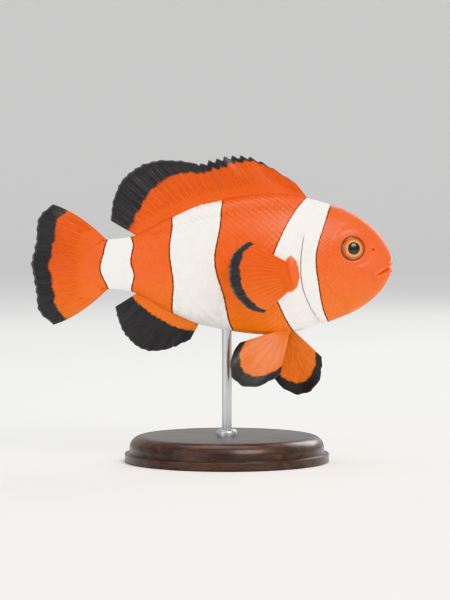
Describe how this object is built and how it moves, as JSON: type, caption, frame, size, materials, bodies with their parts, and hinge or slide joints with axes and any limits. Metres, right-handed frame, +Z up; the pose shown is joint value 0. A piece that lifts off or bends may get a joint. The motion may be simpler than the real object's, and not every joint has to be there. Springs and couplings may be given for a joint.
{
  "type": "clownfish",
  "caption": "Life-size clownfish, orange with white bars and black-edged fins, held level as if swimming on a turned wooden base with a thin steel rod.",
  "frame": {"origin": "on the floor, under the middle of the fish's total length and on its midplane", "axes": "+X towards the snout, +Y to the fish's left, +Z up through the back"},
  "size_m": [0.09, 0.051, 0.0764],
  "materials": {
    "skin": "scaled skin, moist satin, orange with white bars edged in black",
    "fins": "thin ribbed membrane, orange with black margins",
    "eye": "wet gloss, dark pupil in an orange-brown iris",
    "walnut": "dark stained walnut, turned, satin lacquer",
    "steel": "satin drawn rod"
  },
  "bodies": {
    "root": {"head": "skin", "lower_jaw": "skin", "gill_cover_left": "skin", "gill_cover_right": "skin", "trunk": "skin", "tail_stalk": "skin", "eye_left": "eye", "eye_right": "eye", "dorsal_fin_spines": "fins", "dorsal_fin_rays": "fins", "anal_fin": "fins", "tail_fin": "fins", "pectoral_fin_left": "fins", "pectoral_fin_right": "fins", "pelvic_fin_left": "fins", "pelvic_fin_right": "fins", "stand_base": "walnut", "stand_rod": "steel"}
  },
  "joints": []
}
